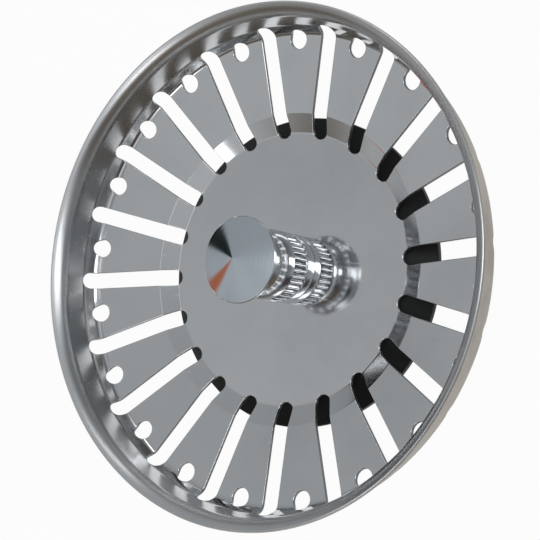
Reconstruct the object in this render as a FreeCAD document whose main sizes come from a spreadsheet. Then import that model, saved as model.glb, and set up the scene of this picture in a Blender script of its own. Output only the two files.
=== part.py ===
import FreeCAD, Part
import math
import os

import Sketcher
from FreeCAD import Placement, Rotation, Vector

# A basket plug for a kitchen sink outlet. The Z axis runs up through the knob, and z = 0 is the
# plane on which the rubber stopper seats in the drain. Lengths are in millimetres, angles in degrees.
SIZES = {
    # Basket: heights of rim and slots are above the circle of holes, the disc's depth below it
    "rim_diameter": 79.3,
    "rim_height": 8.4,
    "sheet": 0.6,
    "flare_width": 2.05,
    "foot_run": 0.85,
    "foot_angle": 67,
    "corner_radius": 1.0,
    "flare_radius": 2.6,
    "flare_angle": 59,
    "floor_angle": 13.7,
    "slot_count": 20,
    "slot_width": 2.65,
    "slot_tip_diameter": 42.0,
    "slot_rise": 2.33,
    "hole_inset": 1.75,
    "hole_diameter": 2.95,
    "hole_tilt_angle": 25,
    "step_outer_diameter": 49.4,
    "step_run": 3.0,
    "step_fillet": 0.8,
    "disc_depth": 4.3,
    # Knob: heights are above the disc
    "knob_edge_height": 12.35,
    "knob_face_rise": 1.65,
    "knob_head_diameter": 13.2,
    "knob_head_thickness": 0.45,
    "knob_edge_bevel": 0.12,
    "knob_cove_radius": 3.15,
    "knob_neck_depth": 0.6,
    "knob_shoulder_inset": 0.65,
    "knob_bulge_height": 2.65,
    "knob_bulge_radius": 5.7,
    "knob_barrel_diameter": 11.1,
    "knob_base_height": 1.75,
    "knob_groove_width": 0.25,
    "knob_groove_depth": 0.3,
    "knob_bore_depth": 8.0,
    "knurl_height": 3.4,
    "knurl_depth": 0.32,
    "knurl_count": 36,
    # Gasket in the knob's base
    "gasket_inset": 1.25,
    "gasket_thickness": 0.8,
    # Stud, bush and fasteners of the clamped stack
    "stud_diameter": 6.0,
    "stud_chamfer": 0.6,
    "bush_diameter": 10.0,
    "nut_across_flats": 10.0,
    "nut_height": 5.0,
    "nut_chamfer": 0.7,
    "washer_diameter": 11.0,
    "washer_thickness": 1.5,
    "washer_split": 0.9,
    "washer_split_angle": 20,
    # Stopper seal and its backing plate
    "seal_diameter": 50.0,
    "seal_hub_diameter": 34.0,
    "seal_hub_thickness": 4.0,
    "seal_lip_thickness": 1.5,
    "seal_lip_bevel": 0.5,
    "plate_diameter": 36.0,
    "plate_thickness": 1.2,
    "plate_recess": 0.6,
    "plate_round": 0.4,
    # Drain post
    "post_collar_diameter": 14.0,
    "post_collar_height": 3.0,
    "post_flats_width": 12.0,
    "post_journal_diameter": 11.0,
    "post_journal_length": 11.0,
    "post_catch_relief": 0.2,
    "post_catch_length": 10.5,
    "post_nose_diameter": 7.0,
    "post_nose_length": 3.5,
    "post_step_length": 0.4,
    "post_bore_depth": 9.0,
    # Ball catch
    "ball_diameter": 4.0,
    "ball_mouth_wall": 0.55,
    "ball_mouth_lip": 0.15,
    "spring_diameter": 2.85,
    "spring_wire": 0.45,
    "spring_turns_count": 4,
    # Fits
    "thread_clearance": 0.02,
    "hole_clearance": 0.15,
    "slip_clearance": 0.05,
    "seat_clearance": 0.04,
    "cut_overrun": 2.0,
}

# Gaps along the stud's threads: how much of each blind bore the stud leaves free
STUD_END_SHARE = 0.1
# Pocket through the tilted holes, in sheets
HOLE_REACH_SHARE = 6.0
# Edge of the rim's sheet that is rounded off
RIM_ROUND_SHARE = 0.4
# How near an edge has to be to its place to count as found, in sheets
EDGE_FIND_SHARE = 0.05
# Half width of a notch's outline one depth outside the knurl, in half pitches of the knurl
NOTCH_SPREAD_SHARE = 1.8
# Quarter turns that make one turn of the spring, each of them two tangent arcs
ARCS_PER_TURN_COUNT = 4


class Size:
    """A length or angle, both as a number and as the sheet expression that gives it."""

    def __init__(self, value, text):
        self.value = value
        self.text = text

    def __add__(self, other):
        other = sized(other)
        return Size(self.value + other.value, f"({self.text} + {other.text})")

    def __sub__(self, other):
        other = sized(other)
        return Size(self.value - other.value, f"({self.text} - {other.text})")

    def __mul__(self, other):
        other = sized(other)
        return Size(self.value * other.value, f"({self.text} * {other.text})")

    def __truediv__(self, other):
        other = sized(other)
        return Size(self.value / other.value, f"({self.text} / {other.text})")

    def __neg__(self):
        return Size(-self.value, f"(0 - {self.text})")


def sized(number):
    if isinstance(number, Size):
        return number
    return Size(float(number), str(float(number)))


def sine(angle):
    return Size(math.sin(math.radians(angle.value)), f"sin({angle.text})")


def cosine(angle):
    return Size(math.cos(math.radians(angle.value)), f"cos({angle.text})")


def tangent(angle):
    return Size(math.tan(math.radians(angle.value)), f"tan({angle.text})")


ZERO = sized(0)
HEXAGON_HALF_ANGLE = sized(30)

doc = FreeCAD.newDocument("sink_strainer")
sheet = doc.addObject("Spreadsheet::Sheet", "sizes")
for row, (alias, number) in enumerate(SIZES.items(), start=1):
    sheet.set(f"A{row}", alias.replace("_", " "))
    sheet.set(f"B{row}", str(number))
    sheet.setAlias(f"B{row}", alias)
doc.recompute()


def size(alias):
    return Size(float(SIZES[alias]), f"sizes.{alias}")


def radius(alias):
    return size(alias) / 2


def bind(thing, prop, amount):
    thing.setExpression(prop, sized(amount).text)


# Heights shared by several pieces, from the seat plane up
DISC_UNDER = size("plate_recess") + size("seal_hub_thickness")
DISC_TOP = DISC_UNDER + size("sheet")
HOLE_PLANE = DISC_TOP + size("disc_depth")
RIM_TOP = HOLE_PLANE + size("rim_height")
# and from the seat plane down
PLATE_UNDER = size("plate_recess") - size("plate_thickness")
WASHER_UNDER = PLATE_UNDER - size("washer_thickness")
POST_TOP = WASHER_UNDER - size("nut_height")
JOURNAL_TOP = POST_TOP - size("post_collar_height")
CATCH_TOP = JOURNAL_TOP - size("post_journal_length")
CATCH_MIDDLE = CATCH_TOP - size("post_catch_length") / 2
NOSE_TOP = CATCH_TOP - size("post_catch_length")
POST_END = NOSE_TOP - size("post_nose_length")

# Radii of the basket, from the rim inwards
WALL = radius("rim_diameter") - size("flare_width")
HOLE_CIRCLE = WALL - size("hole_inset")
STEP_OUT = radius("step_outer_diameter")
STEP_IN = STEP_OUT - size("step_run")

# Bores and holes along the stud
THREAD_BORE = radius("stud_diameter") + size("thread_clearance")
STUD_HOLE = radius("stud_diameter") + size("hole_clearance")
GASKET_RADIUS = radius("knob_barrel_diameter") - size("gasket_inset")
GASKET_POCKET = GASKET_RADIUS + size("slip_clearance")
GASKET_TOP = DISC_TOP + size("gasket_thickness")
SEAL_BORE = radius("bush_diameter") + size("slip_clearance")
PLATE_POCKET = radius("plate_diameter") + size("slip_clearance")
KNOB_BORE_TOP = DISC_TOP + size("knob_bore_depth")
POST_BORE_END = POST_TOP - size("post_bore_depth")
STUD_TOP = KNOB_BORE_TOP - size("knob_bore_depth") * STUD_END_SHARE
STUD_END = POST_BORE_END + size("post_bore_depth") * STUD_END_SHARE

# Ball catch: each ball rests a seat clearance inside the narrowed mouth of its bore
BALL_RADIUS = radius("ball_diameter")
MOUTH_RADIUS = BALL_RADIUS - size("ball_mouth_lip")
CATCH_RADIUS = radius("post_journal_diameter") - size("post_catch_relief")
BALL_BORE_DEPTH = CATCH_RADIUS - size("ball_mouth_wall")
BALL_CAP = Size(
    math.sqrt(BALL_RADIUS.value**2 - MOUTH_RADIUS.value**2),
    f"sqrt({BALL_RADIUS.text}^2 - {MOUTH_RADIUS.text}^2)",
)
BALL_CENTRE = BALL_BORE_DEPTH - BALL_CAP - size("seat_clearance")


def new_body(label):
    body = doc.addObject("PartDesign::Body", label)
    body.Label = label
    return body


def origin_feature(body, role):
    for feature in body.Origin.OriginFeatures:
        if feature.Role == role:
            return feature
    raise RuntimeError(f"{body.Label} has no {role}")


def new_sketch(body, name, plane):
    sketch = body.newObject("Sketcher::SketchObject", name)
    sketch.AttachmentSupport = [(origin_feature(body, plane), "")]
    sketch.MapMode = "FlatFace"
    return sketch


def fix(sketch, kind, places, amount):
    """Adds one dimension to a sketch and ties it to the sheet."""
    index = sketch.addConstraint(Sketcher.Constraint(kind, *places, amount.value))
    bind(sketch, f"Constraints[{index}]", amount)


def place_point(sketch, edge, end, x, y):
    """Ties one end of an edge to its place in the sketch."""
    for amount, kind, axis in ((x, "DistanceX", -2), (y, "DistanceY", -1)):
        if amount is ZERO:
            sketch.addConstraint(Sketcher.Constraint("PointOnObject", edge, end, axis))
        else:
            fix(sketch, kind, (-1, 1, edge, end), amount)


def arc_between(start, end, reach, left):
    """The circle's arc of one radius from start to end, with its centre left or right of the way."""
    middle = (start + end) * 0.5
    half = (end - start) * 0.5
    side = Vector(-half.y, half.x, 0).normalize()
    rise = math.sqrt(max(reach**2 - half.Length**2, 0.0))
    centre = middle + side * (rise if left else -rise)
    first, last = (start, end) if left else (end, start)
    angles = [math.atan2(point.y - centre.y, point.x - centre.x) for point in (first, last)]
    circle = Part.Circle(centre, Vector(0, 0, 1), reach)
    return Part.ArcOfCircle(circle, *angles)


def outline(sketch, corners, arcs=None):
    """Draws a closed loop. arcs maps a corner's number to (radius, centre on the left) of the next edge."""
    arcs = arcs or {}
    points = [Vector(x.value, y.value, 0) for x, y in corners]
    ends = []
    for number, start in enumerate(points):
        end = points[(number + 1) % len(points)]
        if number in arcs:
            reach, left = arcs[number]
            edge = sketch.addGeometry(arc_between(start, end, reach.value, left))
            ends.append((edge, 1 if left else 2, 2 if left else 1))
        else:
            edge = sketch.addGeometry(Part.LineSegment(start, end))
            ends.append((edge, 1, 2))
    for number, (edge, begin, _) in enumerate(ends):
        before, _, finish = ends[number - 1]
        sketch.addConstraint(Sketcher.Constraint("Coincident", before, finish, edge, begin))
        place_point(sketch, edge, begin, *corners[number])
    for number, (reach, _) in arcs.items():
        fix(sketch, "Radius", (ends[number][0],), reach)


def circle(sketch, x, y, reach):
    shape = Part.Circle(Vector(x.value, y.value, 0), Vector(0, 0, 1), reach.value)
    edge = sketch.addGeometry(shape)
    place_point(sketch, edge, 3, x, y)
    fix(sketch, "Radius", (edge,), reach)


def revolved(body, name, corners, arcs=None):
    """Turns a half section, drawn as radius and height, round the body's Z axis."""
    sketch = new_sketch(body, f"{name}_section", "XZ_Plane")
    outline(sketch, corners, arcs)
    turned = body.newObject("PartDesign::Revolution", name)
    turned.Profile = sketch
    turned.ReferenceAxis = (sketch, ["V_Axis"])
    turned.Angle = 360
    doc.recompute()
    return turned


def must_cut(body, feature, before):
    doc.recompute()
    if not feature.Shape.Volume < before:
        raise RuntimeError(f"{feature.Label} cuts nothing from {body.Label}")
    return feature


def pocket(body, name, sketch, depth, both_sides=False, along_normal=False):
    """Cuts a sketch into the body: below its plane, above it, or evenly to both sides."""
    doc.recompute()
    before = body.Shape.Volume
    cut = body.newObject("PartDesign::Pocket", name)
    cut.Profile = sketch
    cut.SideType = "Symmetric" if both_sides else "One side"
    cut.Reversed = along_normal
    bind(cut, "Length", depth)
    return must_cut(body, cut, before)


def polar(body, name, cuts, count):
    """Repeats cuts evenly round the Z axis."""
    before = body.Shape.Volume
    pattern = body.newObject("PartDesign::PolarPattern", name)
    pattern.Originals = cuts
    pattern.Axis = (origin_feature(body, "Z_Axis"), [""])
    pattern.Angle = 360
    bind(pattern, "Occurrences", count)
    body.Tip = pattern
    return must_cut(body, pattern, before)


def ring_edges(shape, wanted):
    """Names of the round edges about the Z axis at the given radii and heights."""
    names = []
    for number, edge in enumerate(shape.Edges, start=1):
        if not isinstance(edge.Curve, Part.Circle):
            continue
        spot = edge.Vertexes[0].Point
        for reach, height in wanted:
            near = abs(math.hypot(spot.x, spot.y) - reach.value) + abs(spot.z - height.value)
            if near < size("sheet").value * EDGE_FIND_SHARE:
                names.append(f"Edge{number}")
    if len(names) < len(wanted):
        raise RuntimeError("an edge to be rounded is missing")
    return names


def rounded(body, name, base, wanted, amount):
    fillet = body.newObject("PartDesign::Fillet", name)
    fillet.Base = (base, ring_edges(base.Shape, wanted))
    bind(fillet, "Radius", amount)
    doc.recompute()
    return fillet


def basket_section():
    """Half section of the pressed sheet, and the places of its edges."""
    sheet_size = size("sheet")
    slope = size("floor_angle")
    foot = size("foot_angle")
    flare = size("flare_angle")
    corner = size("corner_radius")
    outer_wall = WALL + sheet_size
    outer_corner = corner + sheet_size
    # The wall's foot leans in to the floor
    foot_r = WALL - size("foot_run")
    foot_z = HOLE_PLANE + tangent(slope) * (foot_r - HOLE_CIRCLE)
    wall_z = foot_z + size("foot_run") * tangent(foot)
    outer_wall_z = wall_z - sheet_size * tangent((sized(90) - foot) / 2)
    # The bend from floor to foot has one centre for both sides of the sheet
    reach = corner * tangent((foot - slope) / 2)
    bend_r = foot_r - reach * cosine(slope) - corner * sine(slope)
    bend_z = foot_z - reach * sine(slope) + corner * cosine(slope)
    floor_under = sheet_size / cosine(slope)
    step_z = HOLE_PLANE + tangent(slope) * (STEP_OUT - HOLE_CIRCLE)
    # The flare turns out of the wall and then runs straight to the rim
    edge_r = radius("rim_diameter") - sheet_size * cosine(flare)
    turn = size("flare_radius")
    straight = (edge_r - WALL - turn * (sized(1) - cosine(flare))) / sine(flare)
    flare_z = RIM_TOP - straight * cosine(flare) - turn * sine(flare)
    inner_turn = turn - sheet_size
    flare_r = WALL + turn
    corners = [
        (STUD_HOLE, DISC_TOP),
        (STUD_HOLE, DISC_UNDER),
        (STEP_IN, DISC_UNDER),
        (STEP_OUT, step_z - floor_under),
        (bend_r + outer_corner * sine(slope), bend_z - outer_corner * cosine(slope)),
        (bend_r + outer_corner * sine(foot), bend_z - outer_corner * cosine(foot)),
        (outer_wall, outer_wall_z),
        (outer_wall, flare_z),
        (flare_r - inner_turn * cosine(flare), flare_z + inner_turn * sine(flare)),
        (radius("rim_diameter"), RIM_TOP - sheet_size * sine(flare)),
        (edge_r, RIM_TOP),
        (flare_r - turn * cosine(flare), flare_z + turn * sine(flare)),
        (WALL, flare_z),
        (WALL, wall_z),
        (bend_r + corner * sine(foot), bend_z - corner * cosine(foot)),
        (bend_r + corner * sine(slope), bend_z - corner * cosine(slope)),
        (STEP_OUT, step_z),
        (STEP_IN, DISC_TOP),
    ]
    arcs = {
        4: (outer_corner, True),
        7: (inner_turn, False),
        11: (turn, True),
        14: (corner, False),
    }
    return corners, arcs


def make_basket():
    body = new_body("basket")
    corners, arcs = basket_section()
    cup = revolved(body, "cup", corners, arcs)
    steps = [corners[number] for number in (2, 3, 16, 17)]
    cup = rounded(body, "step_rounds", cup, steps, size("step_fillet"))
    rim = [corners[number] for number in (9, 10)]
    rounded(body, "rim_rounds", cup, rim, size("sheet") * RIM_ROUND_SHARE)

    # Slots lie half a pitch from the holes, and run from the disc out and up the wall
    half_pitch = sized(180) / size("slot_count")
    half_width = radius("slot_width")
    slot_top = HOLE_PLANE + size("slot_rise") - half_width
    centre = radius("slot_tip_diameter") + half_width
    past_wall = radius("rim_diameter") + size("cut_overrun")
    plan = new_sketch(body, "slot_plan", "XY_Plane")
    plan.AttachmentOffset = Placement(
        Vector(0, 0, slot_top.value),
        Rotation(Vector(0, 0, 1), half_pitch.value),
    )
    bind(plan, "AttachmentOffset.Base.z", slot_top)
    bind(plan, "AttachmentOffset.Rotation.Angle", half_pitch)
    outline(
        plan,
        [
            (centre, half_width),
            (radius("slot_tip_diameter"), ZERO),
            (centre, -half_width),
            (past_wall, -half_width),
            (past_wall, half_width),
        ],
        {0: (half_width, True), 1: (half_width, True)},
    )
    slot = pocket(body, "slot", plan, slot_top - DISC_UNDER + size("cut_overrun"))
    end = new_sketch(body, "slot_end_outline", "YZ_Plane")
    end.AttachmentOffset = Placement(Vector(0, 0, 0), Rotation(Vector(0, 1, 0), half_pitch.value))
    bind(end, "AttachmentOffset.Rotation.Angle", half_pitch)
    circle(end, ZERO, slot_top, half_width)
    slot_end = pocket(body, "slot_end", end, past_wall, along_normal=True)

    # The holes were punched before the wall was drawn up, so they lean with the bend
    punch = new_sketch(body, "hole_outline", "XY_Plane")
    place = Vector(HOLE_CIRCLE.value, 0, HOLE_PLANE.value)
    punch.AttachmentOffset = Placement(place, Rotation(Vector(0, -1, 0), size("hole_tilt_angle").value))
    bind(punch, "AttachmentOffset.Base.x", HOLE_CIRCLE)
    bind(punch, "AttachmentOffset.Base.z", HOLE_PLANE)
    bind(punch, "AttachmentOffset.Rotation.Angle", size("hole_tilt_angle"))
    circle(punch, ZERO, ZERO, radius("hole_diameter"))
    hole = pocket(body, "hole", punch, size("sheet") * HOLE_REACH_SHARE, both_sides=True)
    polar(body, "slots_and_holes", [slot, slot_end, hole], size("slot_count"))
    return body


def make_knob():
    body = new_body("pull_knob")
    barrel = radius("knob_barrel_diameter")
    groove = barrel - size("knob_groove_depth")
    head = radius("knob_head_diameter")
    bevel = size("knob_edge_bevel")
    base_end = DISC_TOP + size("knob_base_height")
    knurl_start = base_end + size("knob_groove_width")
    knurl_end = knurl_start + size("knurl_height")
    bulge_start = knurl_end + size("knob_groove_width")
    bulge_end = bulge_start + size("knob_bulge_height")
    edge = DISC_TOP + size("knob_edge_height")
    head_under = edge - size("knob_head_thickness")
    shoulder = barrel - size("knob_shoulder_inset")
    neck = shoulder - size("knob_neck_depth")
    corners = [
        (GASKET_POCKET, DISC_TOP),
        (barrel, DISC_TOP),
        (barrel, base_end),
        (groove, base_end),
        (groove, knurl_start),
        (barrel, knurl_start),
        (barrel, knurl_end),
        (groove, knurl_end),
        (groove, bulge_start),
        (barrel, bulge_start),
        (shoulder, bulge_end),
        (neck, bulge_end + size("knob_neck_depth")),
        (head - bevel, head_under),
        (head, head_under + bevel),
        (head, edge - bevel),
        (head - bevel, edge),
        (ZERO, edge + size("knob_face_rise")),
        (ZERO, KNOB_BORE_TOP),
        (THREAD_BORE, KNOB_BORE_TOP),
        (THREAD_BORE, GASKET_TOP),
        (GASKET_POCKET, GASKET_TOP),
    ]
    arcs = {9: (size("knob_bulge_radius"), True), 11: (size("knob_cove_radius"), False)}
    revolved(body, "turned", corners, arcs)

    # One notch of the knurl, a kite whose inner point is the bottom of the notch
    notch = new_sketch(body, "knurl_notch", "XY_Plane")
    notch.AttachmentOffset = Placement(Vector(0, 0, knurl_end.value), Rotation())
    bind(notch, "AttachmentOffset.Base.z", knurl_end)
    half_pitch = Size(math.pi, "pi") * barrel / size("knurl_count")
    spread = half_pitch * NOTCH_SPREAD_SHARE
    depth = size("knurl_depth")
    outline(notch, [(barrel - depth, ZERO), (barrel + depth, -spread), (barrel + depth, spread)])
    cut = pocket(body, "knurl_cut", notch, size("knurl_height"))
    polar(body, "knurl", [cut], size("knurl_count"))
    return body


def make_ring(label, inner, outer, bottom, top):
    """A plain ring, as one cylinder cut by another."""
    shapes = []
    for name, reach, overrun in (("outside", outer, ZERO), ("inside", inner, size("cut_overrun"))):
        shape = doc.addObject("Part::Cylinder", f"{label}_{name}")
        bind(shape, "Radius", reach)
        bind(shape, "Height", top - bottom + overrun * 2)
        bind(shape, "Placement.Base.z", bottom - overrun)
        shapes.append(shape)
    ring = doc.addObject("Part::Cut", label)
    ring.Label = label
    ring.Base, ring.Tool = shapes
    return ring


def make_stud():
    body = new_body("joining_stud")
    reach = radius("stud_diameter")
    chamfer = size("stud_chamfer")
    corners = [
        (ZERO, STUD_END),
        (reach - chamfer, STUD_END),
        (reach, STUD_END + chamfer),
        (reach, STUD_TOP - chamfer),
        (reach - chamfer, STUD_TOP),
        (ZERO, STUD_TOP),
    ]
    revolved(body, "rod", corners)
    return body


def make_seal():
    body = new_body("stopper_seal")
    edge = radius("seal_diameter")
    bevel = size("seal_lip_bevel")
    corners = [
        (SEAL_BORE, size("plate_recess")),
        (PLATE_POCKET, size("plate_recess")),
        (PLATE_POCKET, ZERO),
        (edge - bevel, ZERO),
        (edge, bevel),
        (edge, size("seal_lip_thickness")),
        (radius("seal_hub_diameter"), DISC_UNDER),
        (SEAL_BORE, DISC_UNDER),
    ]
    moulded = revolved(body, "moulding", corners)
    rounded(body, "lip_round", moulded, [corners[5]], bevel)
    return body


def make_plate():
    body = new_body("backing_plate")
    corners = [
        (STUD_HOLE, PLATE_UNDER),
        (radius("plate_diameter"), PLATE_UNDER),
        (radius("plate_diameter"), size("plate_recess")),
        (STUD_HOLE, size("plate_recess")),
    ]
    disc = revolved(body, "disc", corners)
    rounded(body, "plate_rounds", disc, [corners[1]], size("plate_round"))
    return body


def make_washer():
    body = new_body("lock_washer")
    corners = [
        (STUD_HOLE, WASHER_UNDER),
        (radius("washer_diameter"), WASHER_UNDER),
        (radius("washer_diameter"), PLATE_UNDER),
        (STUD_HOLE, PLATE_UNDER),
    ]
    revolved(body, "ring", corners)
    # The split is slanted, as in a spring washer that is wound from wire
    middle = (WASHER_UNDER + PLATE_UNDER) / 2
    half = size("washer_split") / 2
    lean = tangent(size("washer_split_angle")) * size("washer_thickness")
    slit = new_sketch(body, "split_outline", "YZ_Plane")
    outline(
        slit,
        [
            (-half - lean, middle - size("washer_thickness")),
            (half - lean, middle - size("washer_thickness")),
            (half + lean, middle + size("washer_thickness")),
            (lean - half, middle + size("washer_thickness")),
        ],
    )
    pocket(body, "split", slit, radius("washer_diameter") + size("cut_overrun"), along_normal=True)
    return body


def make_nut():
    body = new_body("clamp_nut")
    flat = radius("nut_across_flats")
    corner = flat / cosine(HEXAGON_HALF_ANGLE)
    hexagon = new_sketch(body, "hexagon", "XY_Plane")
    hexagon.AttachmentOffset = Placement(Vector(0, 0, POST_TOP.value), Rotation())
    bind(hexagon, "AttachmentOffset.Base.z", POST_TOP)
    half = corner / 2
    outline(
        hexagon,
        [(corner, ZERO), (half, flat), (-half, flat), (-corner, ZERO), (-half, -flat), (half, -flat)],
    )
    circle(hexagon, ZERO, ZERO, THREAD_BORE)
    block = body.newObject("PartDesign::Pad", "block")
    block.Profile = hexagon
    bind(block, "Length", size("nut_height"))
    doc.recompute()
    before = body.Shape.Volume
    # The corners of both end faces are turned off
    section = new_sketch(body, "corner_section", "XZ_Plane")
    past = corner + size("cut_overrun")
    chamfer = size("nut_chamfer")
    reach = past - flat
    fall = chamfer * reach / (corner - flat)
    for face, way in ((POST_TOP, sized(1)), (WASHER_UNDER, sized(-1))):
        outline(section, [(flat, face), (past, face), (past, face + fall * way)])
    turned = body.newObject("PartDesign::Groove", "turned_corners")
    turned.Profile = section
    turned.ReferenceAxis = (section, ["V_Axis"])
    turned.Angle = 360
    must_cut(body, turned, before)
    return body


def make_post():
    body = new_body("drain_post")
    collar = radius("post_collar_diameter")
    journal = radius("post_journal_diameter")
    corners = [
        (THREAD_BORE, POST_TOP),
        (collar, POST_TOP),
        (collar, JOURNAL_TOP),
        (journal, JOURNAL_TOP),
        (journal, CATCH_TOP),
        (CATCH_RADIUS, CATCH_TOP - size("post_step_length")),
        (CATCH_RADIUS, NOSE_TOP),
        (radius("post_nose_diameter"), POST_END),
        (ZERO, POST_END),
        (ZERO, POST_BORE_END),
        (THREAD_BORE, POST_BORE_END),
    ]
    revolved(body, "turned", corners)

    # Two flats for a spanner across the collar
    flats = new_sketch(body, "flats_outline", "XY_Plane")
    flats.AttachmentOffset = Placement(Vector(0, 0, POST_TOP.value), Rotation())
    bind(flats, "AttachmentOffset.Base.z", POST_TOP)
    past = collar + size("cut_overrun")
    flat = radius("post_flats_width")
    for side in (sized(1), sized(-1)):
        near, far = flat * side, past * side
        outline(flats, [(-past, near), (past, near), (past, far), (-past, far)])
    pocket(body, "flats", flats, size("post_collar_height"))

    # Cross bore for the balls and their spring, with its mouths staked narrower
    bore = new_sketch(body, "cross_bore_outline", "YZ_Plane")
    circle(bore, ZERO, CATCH_MIDDLE, BALL_RADIUS + size("slip_clearance"))
    pocket(body, "cross_bore", bore, BALL_BORE_DEPTH * 2, both_sides=True)
    mouth = new_sketch(body, "mouth_outline", "YZ_Plane")
    circle(mouth, ZERO, CATCH_MIDDLE, MOUTH_RADIUS)
    pocket(body, "mouths", mouth, past * 2, both_sides=True)
    return body


def make_ball(label, side):
    ball = doc.addObject("Part::Sphere", label)
    ball.Label = label
    bind(ball, "Radius", BALL_RADIUS)
    bind(ball, "Placement.Base.x", BALL_CENTRE * side)
    bind(ball, "Placement.Base.z", CATCH_MIDDLE)
    return ball


def tangent_arcs(start, start_way, end, end_way):
    """Two circular arcs that leave start and reach end along the given directions."""
    across = end - start
    both = start_way + end_way
    a = 2 * (start_way.dot(end_way) - 1)
    b = -2 * across.dot(both)
    c = across.dot(across)
    reach = (-b - math.sqrt(b * b - 4 * a * c)) / (2 * a)
    first = start + start_way * reach
    second = end - end_way * reach
    joint = (first + second) * 0.5
    arcs = []
    for begin, handle, finish in ((start, first, joint), (joint, second, end)):
        weight = (finish - begin).Length / (2 * reach)
        middle = (begin + finish + handle * (2 * weight)) * (1 / (2 + 2 * weight))
        arcs.append(Part.Arc(begin, middle, finish).toShape())
    return arcs


def make_spring():
    """Coil between the balls, wound along X and resting near both of them."""
    wire = size("spring_wire").value / 2
    coil = size("spring_diameter").value / 2 - wire
    turns = SIZES["spring_turns_count"]
    seat = BALL_CENTRE.value - math.sqrt((BALL_RADIUS.value + wire) ** 2 - coil**2)
    half_length = seat - size("seat_clearance").value
    pitch = 2 * half_length / turns

    def on_coil(turn):
        angle = 2 * math.pi * turn
        place = Vector(-half_length + pitch * turn, coil * math.cos(angle), coil * math.sin(angle))
        way = Vector(pitch, -2 * math.pi * coil * math.sin(angle), 2 * math.pi * coil * math.cos(angle))
        return place, way.normalize()

    steps = turns * ARCS_PER_TURN_COUNT
    edges = []
    for step in range(steps):
        here, there = on_coil(step / ARCS_PER_TURN_COUNT), on_coil((step + 1) / ARCS_PER_TURN_COUNT)
        edges += tangent_arcs(*here, *there)
    path = Part.Wire(edges)
    place, way = on_coil(0)
    section = Part.Wire([Part.Circle(place, way, wire).toShape()])
    shell = Part.BRepOffsetAPI.MakePipeShell(path)
    shell.add(section)
    shell.build()
    shell.makeSolid()
    tube = shell.shape()
    spring = doc.addObject("Part::Feature", "catch_spring")
    spring.Label = "catch_spring"
    spring.Shape = tube
    spring.Placement = Placement(Vector(0, 0, CATCH_MIDDLE.value), Rotation())
    print(f"catch_spring: gap between turns {pitch - 2 * wire:.3f} mm")
    volume = math.pi * wire**2 * path.Length
    print(f"catch_spring: volume {tube.Volume:.4f}, wire section times length {volume:.4f}")
    return spring


parts = [
    make_basket(),
    make_knob(),
    make_ring("knob_gasket", STUD_HOLE, GASKET_RADIUS, DISC_TOP, GASKET_TOP),
    make_stud(),
    make_ring("spacer_bush", STUD_HOLE, radius("bush_diameter"), size("plate_recess"), DISC_UNDER),
    make_seal(),
    make_plate(),
    make_washer(),
    make_nut(),
    make_post(),
    make_ball("catch_ball_left", sized(-1)),
    make_ball("catch_ball_right", sized(1)),
    make_spring(),
]
doc.recompute()

for thing in doc.Objects:
    if "Invalid" in thing.State or "Error" in thing.State:
        raise RuntimeError(f"{thing.Label} failed: {thing.State}")
for part in parts:
    if part.Shape.isNull() or not part.Shape.isValid() or len(part.Shape.Solids) != 1:
        raise RuntimeError(f"{part.Label} is not one valid solid")

os.makedirs("parts", exist_ok=True)
for part in parts:
    part.Shape.exportStep(os.path.join("parts", f"{part.Label}.step"))
    box = part.Shape.BoundBox
    lengths = f"{box.XLength:.2f} x {box.YLength:.2f} x {box.ZLength:.2f} mm"
    print(f"{part.Label}: {lengths}, z from {box.ZMin:.2f}")
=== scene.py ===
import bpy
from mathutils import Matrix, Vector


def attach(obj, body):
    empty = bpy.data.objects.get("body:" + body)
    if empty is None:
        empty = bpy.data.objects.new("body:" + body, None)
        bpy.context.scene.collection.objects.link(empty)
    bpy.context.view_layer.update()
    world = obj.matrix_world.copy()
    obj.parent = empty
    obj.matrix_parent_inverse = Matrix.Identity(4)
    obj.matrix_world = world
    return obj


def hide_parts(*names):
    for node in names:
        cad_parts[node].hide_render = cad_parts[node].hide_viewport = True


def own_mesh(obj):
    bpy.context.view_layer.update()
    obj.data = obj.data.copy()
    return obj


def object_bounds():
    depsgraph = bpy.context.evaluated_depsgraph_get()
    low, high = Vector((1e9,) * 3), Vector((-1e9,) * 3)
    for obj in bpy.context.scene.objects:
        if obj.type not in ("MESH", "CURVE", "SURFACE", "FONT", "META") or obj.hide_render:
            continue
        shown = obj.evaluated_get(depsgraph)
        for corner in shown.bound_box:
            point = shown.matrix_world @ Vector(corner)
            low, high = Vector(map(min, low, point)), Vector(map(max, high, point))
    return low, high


bl_info = {
    "name": "Sink Strainer",
    "version": (1, 0, 0),
    "blender": (4, 5, 0),
    "location": "View3D > Sidebar > Strainer",
    "description": "Dresses the solids of a basket plug for a kitchen sink outlet",
    "category": "Object",
}

from math import asin, atan2, ceil, copysign, cos, dist, hypot, pi, radians, sin, sqrt, tan

import bmesh
import bpy
from bpy.props import FloatProperty, FloatVectorProperty, IntProperty, PointerProperty
from mathutils import Matrix, Vector
from mathutils.geometry import delaunay_2d_cdt

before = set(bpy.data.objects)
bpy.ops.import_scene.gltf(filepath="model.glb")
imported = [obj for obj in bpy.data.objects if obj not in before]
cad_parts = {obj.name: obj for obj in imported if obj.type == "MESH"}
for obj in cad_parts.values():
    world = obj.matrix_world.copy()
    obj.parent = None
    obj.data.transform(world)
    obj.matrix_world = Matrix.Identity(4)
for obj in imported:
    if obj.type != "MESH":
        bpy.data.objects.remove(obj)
CAD_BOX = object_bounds()
MM = 0.001
PLUG = "plug"
NOTCH = "notch_depth"

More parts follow.
